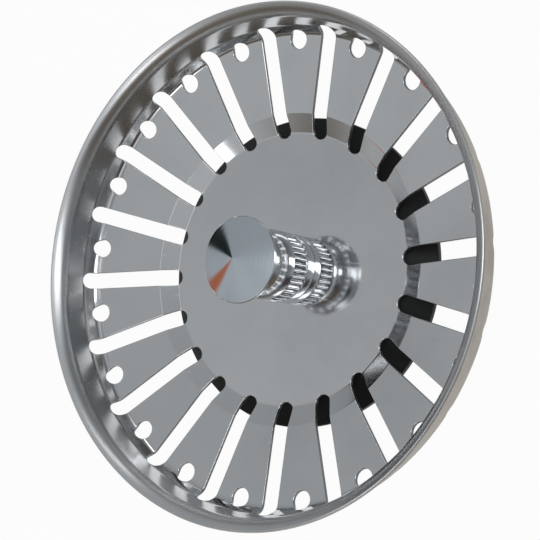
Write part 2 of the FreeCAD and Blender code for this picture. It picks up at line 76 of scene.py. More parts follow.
# Basket sheet, in mm. Heights are above the plane on which the seal seats.
SHEET = 0.6
STUD_HOLE = 3.15
DISC_TOP = 5.2
STEP_IN = 21.7
STEP_OUT = 24.7
STEP_ROUND = 0.8
RING_SLOPE = radians(13.7)
HOLE_CIRCLE = 35.85
HOLE_HEIGHT = 9.5
HOLE_RADIUS = 1.475
HOLE_TILT = radians(25)
WALL = 37.6
WALL_ROUND = 1.5
FOOT_RUN = 0.85
FOOT_ANGLE = radians(67)
BEND = 1.0
FLARE_CORNER = 16.854
FLARE_ROUND = 2.6
FLARE_ANGLE = radians(59)
FLARE_LENGTH = 2.031
RIM_ROUND = 0.24
SLOT_HALF = 1.325
SLOT_TIP = 21.0
SLOT_END = 10.505
SLOT_COUNT = 20
SECTOR = 2 * pi / SLOT_COUNT
SECTOR_START = SECTOR / 4

# Knob, in mm above the disc
KNOB_BARREL = 5.55
KNOB_GROOVE = 5.25
KNOB_BASE = 1.75
KNOB_KNURL = (2.0, 5.4)
KNOB_BULGE = (5.65, 8.3)
KNOB_BULGE_ROUND = 5.7
KNOB_SHOULDER = 4.9
KNOB_NECK = (4.3, 8.9)
KNOB_COVE = 3.15
KNOB_HEAD = 6.6
KNOB_HEAD_UNDER = 11.9
KNOB_EDGE = 12.35
KNOB_BEVEL = 0.12
KNOB_APEX = 14.0
KNOB_BORE = 3.02
KNOB_BORE_TOP = 8.0
GASKET = (4.32, 0.8)
STEPS_PER_TOOTH = 14

# Edges of turned pieces that bend further than this stay sharp.
SHARP_ANGLE = radians(35)

# Seal, in mm
SEAL_BORE = 5.05
SEAL_POCKET = (18.05, 0.6)
SEAL_EDGE = 25.0
SEAL_LIP = 1.5
SEAL_HUB = 17.0
SEAL_TOP = 4.6
SEAL_SEGMENTS = 256

# Catch spring, in mm, along X in the post's cross bore
SPRING_HEIGHT = -26.35
SPRING_COIL = 1.2
SPRING_HALF = 2.04

# Satin finish of the wall and rim: where it starts and where it is full, in mm from the axis
SATIN_RADII = (37.2, 37.8)

# Painted shade: the dark blue-grey that chrome takes in its corners and knurl notches
HOLLOW_SHADE_TONE = (0.08, 0.085, 0.1, 1.0)

# Room that the metal shows. Heights go from 0 at the horizon to 1 overhead; a range is where a part fades.
ROOM_LEVELS = ((0.0, 0.2), (0.16, 0.36), (0.34, 0.47), (0.8, 0.5), (1.0, 0.5))
ROOM_TINT = (0.97, 1.0, 1.02)
LOW_PART = (0.45, 0.85)
BEHIND, BEHIND_TONE = (0.0, 0.4), (0.2, 0.22, 0.23, 1)
FRONT, FRONT_TONE = (-0.3, -0.6), (0.13, 0.105, 0.08, 1)
STRIP_MIDDLE = 0.035
STRIP_SIDES, STRIP_ENDS, STRIP_FOOT = (0.05, 0.08), (0.25, 0.4), (0.6, 0.8)
STRIP_TONE = (1.05, 1.08, 1.1, 1)
FALL_OFF = (-0.5, 0.6, 1.16, 0.84)
# Each panel has its middle, half width and softness in degrees from -X, its foot, head and colour.
PANELS = (
    (15.0, 7.0, 1.5, 0.1, 0.55, (0.012, 0.016, 0.014, 1)),
    (-15.5, 4.5, 1.0, 0.36, 0.55, (0.51, 0.13, 0.043, 1)),
    (-138.0, 16.0, 6.0, 0.45, 0.88, (0.09, 0.075, 0.08, 1)),
)

# Floor and lamps, in metres. Each lamp has its place, and its width and height.
FLOOR_RADIUS = 6.0
FLOOR_SEGMENTS = 96
KEY_LAMP = ((0.38, 0.116, 0.449), (0.17, 0.52))
FRONT_LAMP = ((0.0, -0.36, 0.468), (0.16, 0.2))
EDGE_LAMP = ((-0.05, 0.45, 0.35), (0.06, 0.3))

# Camera, as fitted to the photo: place, lens and sensor in mm, two directions, and the lens shift
CAMERA_PLACE = (98.67, -6.57, 147.38)
CAMERA_RIGHT = (0.81799, 0.12554, -0.56136)
CAMERA_UP = (-0.06437, 0.98974, 0.12755)
LENS = 72.848
SENSOR = 36.0
LENS_SHIFT = (-0.0293, -0.0656)
CLIP = (0.005, 50.0)


def feed(tree, node, inputs):
    """Joins a node's inputs to other sockets, or fills them with plain values."""
    for name, value in inputs.items():
        if isinstance(value, bpy.types.NodeSocket):
            tree.links.new(value, node.inputs[name])
        else:
            node.inputs[name].default_value = value


def add_node(tree, kind, inputs=None, **settings):
    """Adds a node, sets it up and feeds it."""
    node = tree.nodes.new(kind)
    for name, value in settings.items():
        setattr(node, name, value)
    feed(tree, node, inputs or {})
    return node


def maths(tree, operation, *values):
    """The result of one Math node."""
    inputs = dict(enumerate(values))
    return add_node(tree, "ShaderNodeMath", inputs, operation=operation).outputs[0]


def times(tree, product, *others):
    """All values multiplied."""
    for other in others:
        product = maths(tree, "MULTIPLY", product, other)
    return product


def more(tree, value, *layers):
    """A value plus each layer's mask times its amount."""
    for mask, amount in layers:
        value = maths(tree, "MULTIPLY_ADD", mask, amount, value)
    return value


def eased(tree, value, low, high, start=0.0, end=1.0):
    """Value mapped smoothly from low..high to start..end."""
    inputs = {"Value": value, "From Min": low, "From Max": high, "To Min": start, "To Max": end}
    node = add_node(tree, "ShaderNodeMapRange", inputs, interpolation_type="SMOOTHSTEP")
    return node.outputs["Result"]


def faded(tree, value, low, high):
    """1 up to low and 0 from high on."""
    return eased(tree, value, low, high, 1.0, 0.0)


def mixed(tree, colour, *layers):
    """A colour under layers, each with its share and its own colour."""
    for share, over in layers:
        inputs = {0: share, 6: colour, 7: over}
        colour = add_node(tree, "ShaderNodeMix", inputs, data_type="RGBA").outputs[2]
    return colour


def own_place(tree):
    """A point in the piece's own axes."""
    return add_node(tree, "ShaderNodeTexCoord").outputs["Object"]


def noise(tree, vector, scale, detail=2.0, roughness=0.5):
    """Noise between 0 and 1 at so many cells in a metre."""
    inputs = {"Vector": vector, "Scale": scale, "Detail": detail, "Roughness": roughness}
    return add_node(tree, "ShaderNodeTexNoise", inputs).outputs["Fac"]


def new_group(name, inputs, outputs):
    """An empty node group with float sockets, what it is given and its output node."""
    tree = bpy.data.node_groups.new(name, "ShaderNodeTree")
    for socket, default in inputs.items():
        made = tree.interface.new_socket(name=socket, in_out="INPUT", socket_type="NodeSocketFloat")
        made.default_value = default
    for socket in outputs:
        tree.interface.new_socket(name=socket, in_out="OUTPUT", socket_type="NodeSocketFloat")
    return tree, add_node(tree, "NodeGroupInput").outputs, add_node(tree, "NodeGroupOutput")


def radius_of(tree, vector):
    """Distance of a point from the strainer's axis, and the point's X, Y and Z."""
    parts = add_node(tree, "ShaderNodeSeparateXYZ", {0: vector}).outputs
    flat = add_node(tree, "ShaderNodeCombineXYZ", {"X": parts["X"], "Y": parts["Y"]}).outputs[0]
    length = add_node(tree, "ShaderNodeVectorMath", {0: flat}, operation="LENGTH")
    return length.outputs["Value"], parts


def make_scratches_group():
    """Fine straight scratches in three directions, as wiping leaves them."""
    tree, given, result = new_group("Fine scratches", {"Cells": 2600.0, "Cover": 0.35}, ["Mask"])
    vector = own_place(tree)
    edge = maths(tree, "SUBTRACT", 0.78, times(tree, given["Cover"], 0.2))
    lines = 0.0
    for turn in (18, 74, 141):
        inputs = {"Vector": vector, "Rotation": (0, 0, radians(turn)), "Scale": (0.035, 1.0, 0.35)}
        spun = add_node(tree, "ShaderNodeMapping", inputs).outputs[0]
        field = noise(tree, spun, given["Cells"], 1.0)
        line = eased(tree, field, edge, maths(tree, "ADD", edge, 0.05))
        lines = maths(tree, "MAXIMUM", lines, line)
    patches = eased(tree, noise(tree, vector, 90.0), 0.4, 0.62)
    feed(tree, result, {"Mask": times(tree, lines, patches)})


def make_marks_group():
    """Dried water: soft blotches with small ringed drops."""
    tree, given, result = new_group("Water marks", {"Cells": 70.0}, ["Mask", "Drops"])
    vector = own_place(tree)
    soft = eased(tree, noise(tree, vector, given["Cells"], 5.0, 0.6), 0.42, 0.72)
    inputs = {"Vector": vector, "Scale": times(tree, given["Cells"], 6.0), "Randomness": 1.0}
    drops = add_node(tree, "ShaderNodeTexVoronoi", inputs).outputs["Distance"]
    ring = times(tree, faded(tree, drops, 0.16, 0.22), eased(tree, drops, 0.1, 0.16), soft)
    feed(tree, result, {"Mask": soft, "Drops": ring})


def make_turning_group():
    """Rings that a lathe tool leaves, by distance from the axis and by height."""
    tree, given, result = new_group("Turning lines", {"Lines": 9000.0}, ["Height"])
    radius, parts = radius_of(tree, own_place(tree))
    along = maths(tree, "ADD", radius, parts["Z"])
    inputs = {"W": times(tree, along, given["Lines"]), "Scale": 1.0, "Detail": 3.0}
    rings = add_node(tree, "ShaderNodeTexNoise", inputs, noise_dimensions="1D")
    feed(tree, result, {"Height": rings.outputs["Fac"]})


def make_brushing_group():
    """Fine satin lines that run round the axis."""
    inputs = {"Lines": 9000.0, "Length": 12.0}
    tree, given, result = new_group("Round brushing", inputs, ["Height", "Streaks"])
    radius, parts = radius_of(tree, own_place(tree))
    turn = {}
    for axis in ("X", "Y"):
        share = maths(tree, "DIVIDE", parts[axis], radius)
        turn[axis] = times(tree, share, given["Length"])
    along = maths(tree, "ADD", radius, parts["Z"])
    turn["Z"] = times(tree, along, given["Lines"])
    spread = add_node(tree, "ShaderNodeCombineXYZ", turn).outputs[0]
    wide = add_node(tree, "ShaderNodeVectorMath", {0: spread, "Scale": 0.12}, operation="SCALE").outputs[0]
    streaks = eased(tree, noise(tree, wide, 1.0, 3.0), 0.3, 0.7)
    feed(tree, result, {"Height": noise(tree, spread, 1.0, 3.0, 0.6), "Streaks": streaks})


def make_wear_and_shade_group():
    """Rubbed edges, and painted shade in the corners, from how sharply the surface bends."""
    tree, given, result = new_group("Edges and corners", {"Reach": 0.05}, ["Rubbed", "Hollow shade"])
    bend = add_node(tree, "ShaderNodeNewGeometry").outputs["Pointiness"]
    flat, reach = 0.5, given["Reach"]
    broken = noise(tree, own_place(tree), 500.0, 4.0, 0.6)
    rubbed = eased(tree, bend, flat, maths(tree, "ADD", flat, reach))
    # Painted shade: a mask that darkens where the surface bends inwards, in corners and hollows, broken up
    # by noise
    grime = faded(tree, bend, maths(tree, "SUBTRACT", flat, reach), flat)
    grime = times(tree, grime, eased(tree, broken, 0.3, 0.7))
    feed(tree, result, {"Rubbed": times(tree, rubbed, broken), "Hollow shade": grime})


GROUP_MAKERS = {
    "Fine scratches": make_scratches_group,
    "Water marks": make_marks_group,
    "Turning lines": make_turning_group,
    "Round brushing": make_brushing_group,
    "Edges and corners": make_wear_and_shade_group,
}


def group(tree, name, **values):
    """Places one of the shared effects in a material."""
    if name not in bpy.data.node_groups:
        GROUP_MAKERS[name]()
    effect = bpy.data.node_groups[name]
    return add_node(tree, "ShaderNodeGroup", values, node_tree=effect).outputs


def material(name, recipe, *values, **named):
    """A finish that is built on the first use of its name. Its recipe gives the surface's inputs."""
    made = bpy.data.materials.get(name)
    if made is None:
        made = bpy.data.materials.new(name)
        made.use_nodes = True
        tree = made.node_tree
        feed(tree, tree.nodes["Principled BSDF"], recipe(tree, *values, **named))
    return made


def bumps(tree, *layers):
    """The normal of Bump nodes over each other, each with its height, strength and depth in mm."""
    normal = {}
    for height, strength, depth in layers:
        inputs = {"Height": height, "Strength": strength, "Distance": depth * MM, **normal}
        normal = {"Normal": add_node(tree, "ShaderNodeBump", inputs).outputs[0]}
    return normal


def shade(colour, share):
    """A colour made lighter or darker, as a socket takes it."""
    return (*(channel * share for channel in colour), 1.0)


def basket_steel(tree, look):
    """Pressed stainless: mirror floor, satin wall and rim, wiped and a little marked."""
    vector = own_place(tree)
    radius, _ = radius_of(tree, vector)
    satin = eased(tree, radius, SATIN_RADII[0] * MM, SATIN_RADII[1] * MM)
    marks = group(tree, "Water marks", Cells=55.0)
    scratches = group(tree, "Fine scratches", Cells=2400.0, Cover=0.3)["Mask"]
    brushing = group(tree, "Round brushing")
    darker = shade(look.steel, 0.8)
    colour = mixed(
        tree,
        shade(look.steel, 1.0),
        (marks["Mask"], shade(look.steel, 0.93)),
        (times(tree, satin, 0.35, brushing["Streaks"]), darker),
        (times(tree, marks["Drops"], 0.25), darker),
    )
    rough = eased(tree, satin, 0.0, 1.0, look.polish, look.satin)
    rough = more(tree, rough, (marks["Mask"], 0.04), (scratches, 0.12))
    waves = noise(tree, vector, 160.0, 1.0)
    lines = times(tree, brushing["Height"], satin)
    normal = bumps(tree, (waves, 0.12, 0.15), (lines, 0.15, 0.02), (scratches, 0.1, 0.01))
    return {"Metallic": 1.0, "Base Color": colour, "Roughness": rough, **normal}


def chrome(tree, look, colour, lines, depth, grime=0.7):
    """Bright plating over a turned piece, with faint tool lines, handling marks and painted shade in its
    corners and knurl notches.
    """
    marks = group(tree, "Water marks", Cells=160.0)
    scratches = group(tree, "Fine scratches", Cells=4200.0, Cover=0.3)["Mask"]
    turning = group(tree, "Turning lines", Lines=lines)["Height"]
    edges = group(tree, "Edges and corners", Reach=0.06)
    notches = add_node(tree, "ShaderNodeAttribute", attribute_name=NOTCH).outputs["Fac"]
    # Painted shade: corners and knurl notches are mixed towards a dark blue-grey, as shade would fall there
    shaded_hollows = maths(tree, "MAXIMUM", edges["Hollow shade"], eased(tree, notches, 0.1, look.tooth_depth / MM))
    layers = ((marks["Mask"], shade(colour, 0.94)), (times(tree, shaded_hollows, grime), HOLLOW_SHADE_TONE))
    tone = mixed(tree, shade(colour, 1.0), *layers)
    rough = more(tree, look.gloss, (marks["Mask"], 0.05), (scratches, 0.12), (shaded_hollows, 0.3))
    normal = bumps(tree, (turning, 0.3, depth), (scratches, 0.1, 0.01))
    return {"Metallic": 1.0, "Base Color": tone, "Roughness": rough, **normal}


def turned_metal(tree, colour, rough, lines):
    """Bare turned or stamped metal with tool lines, scratches, rubbed edges and painted shade in its
    corners.
    """
    marks = group(tree, "Water marks", Cells=120.0)
    scratches = group(tree, "Fine scratches", Cells=3000.0, Cover=0.5)["Mask"]
    turning = group(tree, "Turning lines", Lines=lines)["Height"]
    edges = group(tree, "Edges and corners", Reach=0.06)
    tone = mixed(
        tree,
        shade(colour, 1.0),
        (marks["Mask"], shade(colour, 0.85)),
        # Painted shade: corners are darkened to a quarter of the colour
        (times(tree, edges["Hollow shade"], 0.5), shade(colour, 0.25)),
        (times(tree, edges["Rubbed"], 0.6), shade(colour, 1.15)),
    )
    spread = 0.12
    grain = more(tree, rough - spread / 2, (turning, spread), (marks["Mask"], 0.08), (scratches, 0.15))
    normal = bumps(tree, (turning, 0.3, 0.03), (scratches, 0.15, 0.02))
    return {"Metallic": 1.0, "Base Color": tone, "Roughness": grain, **normal}


def rubber(tree, look):
    """Moulded black rubber with a fine skin, greyer where it is rubbed and where water dried."""
    marks = group(tree, "Water marks", Cells=110.0)
    edges = group(tree, "Edges and corners", Reach=0.05)
    skin = noise(tree, own_place(tree), 5200.0, 3.0, 0.6)
    tone = mixed(
        tree,
        shade(look.rubber, 1.0),
        (marks["Mask"], shade(look.rubber, 1.9)),
        (times(tree, edges["Rubbed"], 0.5), shade(look.rubber, 3.5)),
        (times(tree, marks["Drops"], 0.3), shade(look.rubber, 4.5)),
    )
    spread = 0.14
    rough = more(tree, look.dullness - spread / 2, (skin, spread), (marks["Mask"], 0.1))
    normal = bumps(tree, (skin, 0.25, 0.03))
    return {"Specular IOR Level": 0.22, "Base Color": tone, "Roughness": rough, **normal}


def show_node(name, finish):
    """Gives a CAD node that stays in view its finish."""
    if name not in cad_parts:
        raise RuntimeError(f"the packed model has no {name}")
    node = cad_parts[name]
    if not node.material_slots:
        raise RuntimeError(f"{name} has no material slot")
    for slot in node.material_slots:
        slot.material = finish


def add_object(name, data):
    """A new object in the scene."""
    made = bpy.data.objects.new(name, data)
    bpy.context.scene.collection.objects.link(made)
    return made


def add_piece(name, mesh, finishes, node):
    """Puts a piece of the plug in the scene in place of a CAD node."""
    if not mesh.polygons:
        raise RuntimeError(f"{name} has no faces")
    for finish in finishes:
        mesh.materials.append(finish)
    piece = add_object(name, mesh)
    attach(piece, PLUG)
    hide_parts(node)
    return piece


def arc_points(start, end, radius, side, steps):
    """Points after start on the short arc to end; its centre is to the left for side 1, else right."""
    across, rise = end[0] - start[0], end[1] - start[1]
    chord = hypot(across, rise)
    reach = side * sqrt(radius**2 - chord**2 / 4) / chord
    middle = ((start[0] + end[0]) / 2 - rise * reach, (start[1] + end[1]) / 2 + across * reach)
    first = atan2(start[1] - middle[1], start[0] - middle[0])
    sweep = side * 2 * asin(chord / 2 / radius)
    angles = [first + sweep * k / steps for k in range(1, steps + 1)]
    return [(middle[0] + radius * cos(a), middle[1] + radius * sin(a)) for a in angles]


def eased_profile(corners, steps=4):
    """A profile's points, with each corner (radius, height, rounding) rounded."""
    points = []
    for index, (x, y, rounding) in enumerate(corners):
        if not rounding:
            points.append((x, y))
            continue
        corner = Vector((x, y))
        back = (Vector(corners[index - 1][:2]) - corner).normalized()
        ahead = (Vector(corners[index + 1][:2]) - corner).normalized()
        reach = rounding / tan(back.angle(ahead) / 2)
        start, end = corner + back * reach, corner + ahead * reach
        side = copysign(1, ahead.x * back.y - ahead.y * back.x)
        points.append(tuple(start))
        points += arc_points(start, end, rounding, side, steps)
    return points


def new_mesh(bm, name):
    """The mesh of a finished build."""
    mesh = bpy.data.meshes.new(name)
    bm.to_mesh(mesh)
    bm.free()
    return mesh


def smooth_outwards(bm):
    """Turns all faces outwards and makes them smooth."""
    bmesh.ops.recalc_face_normals(bm, faces=bm.faces)
    for face in bm.faces:
        face.smooth = True


def join_rings(bm, rings):
    """Faces from each ring of points to the next."""
    for low, high in zip(rings, rings[1:]):
        for k in range(len(low)):
            after = k - len(low) + 1
            corners = list(dict.fromkeys((low[k], low[after], high[after], high[k])))
            if len(corners) > 2:
                bm.faces.new(corners)


def turned_mesh(name, rows, segments, notch=None):
    """Turns rows of (radius, height, share of notch) in mm round the axis into one closed mesh."""
    bm = bmesh.new()
    depth = bm.verts.layers.float.new(NOTCH)
    rings = []
    for radius, height, share in rows:
        if radius == 0:
            rings.append([bm.verts.new((0, 0, height * MM))] * segments)
            continue
        ring = []
        for k in range(segments):
            angle = 2 * pi * k / segments
            cut = share * notch(angle) if share else 0.0
            reach = radius - cut
            spot = (reach * cos(angle) * MM, reach * sin(angle) * MM, height * MM)
            ring.append(bm.verts.new(spot))
            ring[-1][depth] = cut
        rings.append(ring)
    join_rings(bm, rings)
    smooth_outwards(bm)
    for edge in bm.edges:
        edge.smooth = edge.calc_face_angle(0.0) < SHARP_ANGLE
    return new_mesh(bm, name)


def sheet_rows(corners, arc_steps, gaps):
    """Rows (radius, height, direction) along a bent sheet's upper face, with the run of each row."""
    rows = []
    angles = [atan2(b[1] - a[1], b[0] - a[0]) for a, b in zip(corners, corners[1:])]
    x, y = corners[0][:2]
    for index, (end_x, end_y, rounding) in enumerate(corners[1:]):
        angle = angles[index]
        turn = angles[index + 1] - angle if rounding else 0.0
        run = hypot(end_x - x, end_y - y) - rounding * tan(abs(turn) / 2)
        steps = max(1, ceil(run / gaps[index]))
        across, rise = cos(angle) * run, sin(angle) * run
        rows += [(x + across * k / steps, y + rise * k / steps, angle) for k in range(steps)]
        x, y = x + across, y + rise
        if not rounding:
            rows.append((x, y, angle))
            break
        side = copysign(1, turn) * rounding
        middle = (x - side * sin(angle), y + side * cos(angle))
        for k in range(arc_steps + 1):
            bent = angle + turn * k / arc_steps
            x, y = middle[0] + side * sin(bent), middle[1] - side * cos(bent)
            if k < arc_steps:
                rows.append((x, y, bent))
    runs = [0.0]
    for low, high in zip(rows, rows[1:]):
        runs.append(runs[-1] + dist(low[:2], high[:2]))
    return rows, runs


def place_in(values, wanted):
    """The row, with its fraction, at which rising values reach the wanted one."""
    for index, (low, high) in enumerate(zip(values, values[1:])):
        if wanted <= high:
            return index + (wanted - low) / (high - low)
    return len(values) - 1.0


def inside(spot, loop):
    """True where a point of the flat pattern is within a closed loop."""
    hit = False
    for (x0, y0), (x1, y1) in zip(loop, loop[1:] + loop[:1]):
        if (y0 > spot[1]) != (y1 > spot[1]) and spot[0] < x0 + (spot[1] - y0) * (x1 - x0) / (y1 - y0):
            hit = not hit
    return hit


# Finishes of the sheet's faces: upper face; punched edge, whose dark colour is painted shade; underside,
# whose tan colour is painted reflection
UPPER, CUT, UNDER = range(3)


class BasketSheet:
    """One sector of the pressed sheet: its upper face, its openings and their rounded edges."""

    COLUMNS = 12
    CLEARANCE = 0.4
    ARC_STEPS = 8
    ROW_GAPS = (2.2, 0.6, 1.0, 0.5, 0.6, 0.4)
    TIP_STEPS = 14
    SIDE_GAP = 0.3
    HOLE_STEPS = 40
    EDGE_STEPS = 3

    def __init__(self, edge_round):
        self.edge = edge_round
        step_height = HOLE_HEIGHT - (HOLE_CIRCLE - STEP_OUT) * tan(RING_SLOPE)
        foot = WALL - FOOT_RUN
        foot_height = HOLE_HEIGHT + (foot - HOLE_CIRCLE) * tan(RING_SLOPE)
        lip = FLARE_LENGTH - RIM_ROUND
        corners = [
            (STUD_HOLE + edge_round, DISC_TOP, 0),
            (STEP_IN, DISC_TOP, STEP_ROUND),
            (STEP_OUT, step_height, STEP_ROUND),
            (foot, foot_height, BEND),
            (WALL, foot_height + FOOT_RUN * tan(FOOT_ANGLE), WALL_ROUND),
            (WALL, FLARE_CORNER, FLARE_ROUND),
            (WALL + lip * sin(FLARE_ANGLE), FLARE_CORNER + lip * cos(FLARE_ANGLE), 0),
        ]
        rows, self.runs = sheet_rows(corners, self.ARC_STEPS, self.ROW_GAPS)
        self.rows = [(*row, run) for row, run in zip(rows, self.runs)]
        self.verts, self.normals, self.faces = [], [], []

    def at(self, row):
        """Radius, height, direction and run of the upper face at a row with a fraction."""
        index = min(int(row), len(self.rows) - 2)
        part = row - index
        return tuple(a + (b - a) * part for a, b in zip(self.rows[index], self.rows[index + 1]))

    def axes(self, angle, row):
        """The point, the face's normal and its two directions, round and along."""
        radius, height, bent, _ = self.at(row)
        c, s = cos(angle), sin(angle)
        spot = Vector((radius * c, radius * s, height))
        along = Vector((cos(bent) * c, cos(bent) * s, sin(bent)))
        normal = Vector((-sin(bent) * c, -sin(bent) * s, cos(bent)))
        return spot, normal, Vector((-s, c, 0)), along

    def slot_outline(self):
        """The slot from its round tip in the disc to its round end in the wall."""
        middle = SLOT_TIP + SLOT_HALF
        radii = [row[0] for row in self.rows]
        turns = [pi * (k / self.TIP_STEPS - 0.5) for k in range(self.TIP_STEPS + 1)]
        points = []
        for turn in turns:
            x, y = middle - SLOT_HALF * cos(turn), SLOT_HALF * sin(turn)
            points.append((atan2(y, x), place_in(radii, hypot(x, y))))
        foot = next(i for i, row in enumerate(self.rows) if row[0] > STEP_OUT)
        heights = [row[1] for row in self.rows[foot:]]
        start = points[-1][1] + self.SIDE_GAP
        end = foot + place_in(heights, SLOT_END) - self.SIDE_GAP
        side = [(asin(SLOT_HALF / self.rows[i][0]), float(i)) for i in range(ceil(start), ceil(end))]
        tip = []
        for turn in reversed(turns):
            row = foot + place_in(heights, SLOT_END + SLOT_HALF * cos(turn))
            tip.append((asin(SLOT_HALF * sin(turn) / self.at(row)[0]), row))
        back = [(-angle, row) for angle, row in reversed(side)]
        return [(angle + SECTOR / 2, row) for angle, row in points + side + tip + back]

    def hole_outline(self):
        """The round hole at the foot of the wall, whose drill leans inwards."""
        lean, rise = cos(HOLE_TILT), sin(HOLE_TILT)
        across = [(row[0] - HOLE_CIRCLE) * lean + (row[1] - HOLE_HEIGHT) * rise for row in self.rows]
        points = []
        for k in range(self.HOLE_STEPS):
            turn = 2 * pi * k / self.HOLE_STEPS
            row = place_in(across, HOLE_RADIUS * sin(turn))
            angle = asin(HOLE_RADIUS * cos(turn) / self.at(row)[0])
            points.append((angle + SECTOR, row))
        return points

    def widened(self, outline):
        """The outline moved out by the edge rounding, with the direction it moved in."""
        length = [self.at(row)[3] for _, row in outline]
        count = len(outline)
        area = sum(outline[i - 1][0] * length[i] - outline[i][0] * length[i - 1] for i in range(count))
        wider = []
        for i, (angle, row) in enumerate(outline):
            ahead, behind = (i + 1) % count, i - 1
            radius = self.at(row)[0]
            round_step = radius * (outline[ahead][0] - outline[behind][0])
            long_step = length[ahead] - length[behind]
            size = copysign(hypot(round_step, long_step), area)
            out = (long_step / size, -round_step / size)
            moved = place_in(self.runs, length[i] + out[1] * self.edge)
            wider.append((angle + out[0] * self.edge / radius, moved, out))
        return wider

    def flat(self, angle, row):
        """A point of the flat pattern, in steps of the grid."""
        return ((angle - SECTOR_START) * self.COLUMNS / SECTOR, row)

    def grid_spots(self, loops):
        """Points of the sector's grid, without those in or close to an opening."""
        spots, last = [], len(self.rows) - 1
        for row in range(last + 1):
            for column in range(self.COLUMNS + 1):
                cell = (column, row)
                border = column in (0, self.COLUMNS) or row in (0, last)
                near = any(
                    inside(cell, loop) or min(dist(cell, spot) for spot in loop) < self.CLEARANCE
                    for loop in loops
                )
                if border or not near:
                    spots.append((SECTOR_START + SECTOR * column / self.COLUMNS, float(row)))
        return spots

    def make(self):
        """Fills the sector's points, normals and faces."""
        outlines = [self.slot_outline(), self.hole_outline()]
        wider = [self.widened(outline) for outline in outlines]
        spots, edges = [], []
        for loop in wider:
            first = len(spots)
            spots += [(angle, row) for angle, row, _ in loop]
            edges += [(first + k, first + (k + 1) % len(loop)) for k in range(len(loop))]
        loops = [[self.flat(angle, row) for angle, row, _ in loop] for loop in wider]
        spots += self.grid_spots(loops)
        flat = [Vector(self.flat(*spot)) for spot in spots]
        points, _, cells, sources, *_ = delaunay_2d_cdt(flat, edges, [], 0, 1e-7)
        index_of, places = {}, []
        for index, (point, source) in enumerate(zip(points, sources)):
            if source:
                places.append(spots[source[0]])
                index_of[source[0]] = index
            else:
                places.append((SECTOR_START + point[0] * SECTOR / self.COLUMNS, point[1]))
        for angle, row in places:
            spot, normal, _, _ = self.axes(angle, row)
            self.verts.append(spot)
            self.normals.append(normal)
        under = len(places)
        for top in range(under):
            self.verts.append(self.verts[top] - self.normals[top] * SHEET)
            self.normals.append(-self.normals[top])
        for cell in cells:
            middle = tuple(sum(points[k][axis] for k in cell) / len(cell) for axis in (0, 1))
            if not any(inside(middle, loop) for loop in loops):
                self.faces.append((tuple(reversed(cell)), UPPER))
                self.faces.append((tuple(under + k for k in cell), UNDER))
        first = 0
        for outline, loop in zip(outlines, wider):
            ends = [index_of[first + k] for k in range(len(loop))]
            first += len(loop)
            self.edge_band(ends, under, outline, [out for _, _, out in loop], self.edge, True)
        for row, way, rounding in ((0, 1.0, self.edge), (len(self.rows) - 1, -1.0, RIM_ROUND)):
            ends = [k for k, place in enumerate(places) if place[1] == row]
            ends.sort(key=lambda k: places[k][0])
            border = [places[k] for k in ends]
            self.edge_band(ends, under, border, [(0.0, way)] * len(ends), rounding, False)

    def edge_band(self, ends, under, nominal, outs, rounding, closed):
        """The cut edge between the two faces, rounded above and below."""
        pulled = 0.0 if closed else rounding
        turns = [pi / 2 * k / self.EDGE_STEPS for k in range(self.EDGE_STEPS + 1)]
        steps = [(rounding * (1 - cos(a)), a) for a in turns[1:]]
        steps += [(SHEET - rounding * (1 - cos(a)), pi - a) for a in reversed(turns[1:])]
        rings = [list(ends)]
        for depth, turn in steps:
            ring = []
            for (angle, row), out in zip(nominal, outs):
                spot, normal, about, along = self.axes(angle, row)
                away = about * out[0] + along * out[1]
                offset = rounding * (1 - sin(turn)) - pulled
                ring.append(len(self.verts))
                self.verts.append(spot - normal * depth + away * offset)
                self.normals.append(normal * cos(turn) - away * sin(turn))
            rings.append(ring)
        rings.append([under + k for k in ends])
        count = len(ends) if closed else len(ends) - 1
        half = len(rings) / 2 - 1
        for band, (high, low) in enumerate(zip(rings, rings[1:])):
            finish = UPPER if band < half else UNDER
            # The middle of each slot and hole edge takes the punched-edge finish, a dark painted shade
            if closed and abs(band - half) < 1.5:
                finish = CUT
            for k in range(count):
                n = (k + 1) % len(ends)
                self.faces.append(((high[k], high[n], low[n], low[k]), finish))


def basket_mesh(edge_round):
    """All sectors of the sheet joined into one mesh with its exact normals."""
    sheet = BasketSheet(edge_round)
    sheet.make()
    bm = bmesh.new()
    layer = bm.verts.layers.float_vector.new("facing")
    for k in range(SLOT_COUNT):
        turn = Matrix.Rotation(SECTOR * k, 3, "Z")
        made = []
        for spot, normal in zip(sheet.verts, sheet.normals):
            vert = bm.verts.new(turn @ spot * MM)
            vert[layer] = turn @ normal
            made.append(vert)
        for corners, finish in sheet.faces:
            bm.faces.new([made[i] for i in corners]).material_index = finish
    bmesh.ops.remove_doubles(bm, verts=bm.verts, dist=1e-4 * MM)
    smooth_outwards(bm)
    facing = [vert[layer].normalized() for vert in bm.verts]
    bm.verts.layers.float_vector.remove(layer)
    mesh = new_mesh(bm, "basket_sheet")
    mesh.normals_split_custom_set_from_vertices(facing)
    return mesh


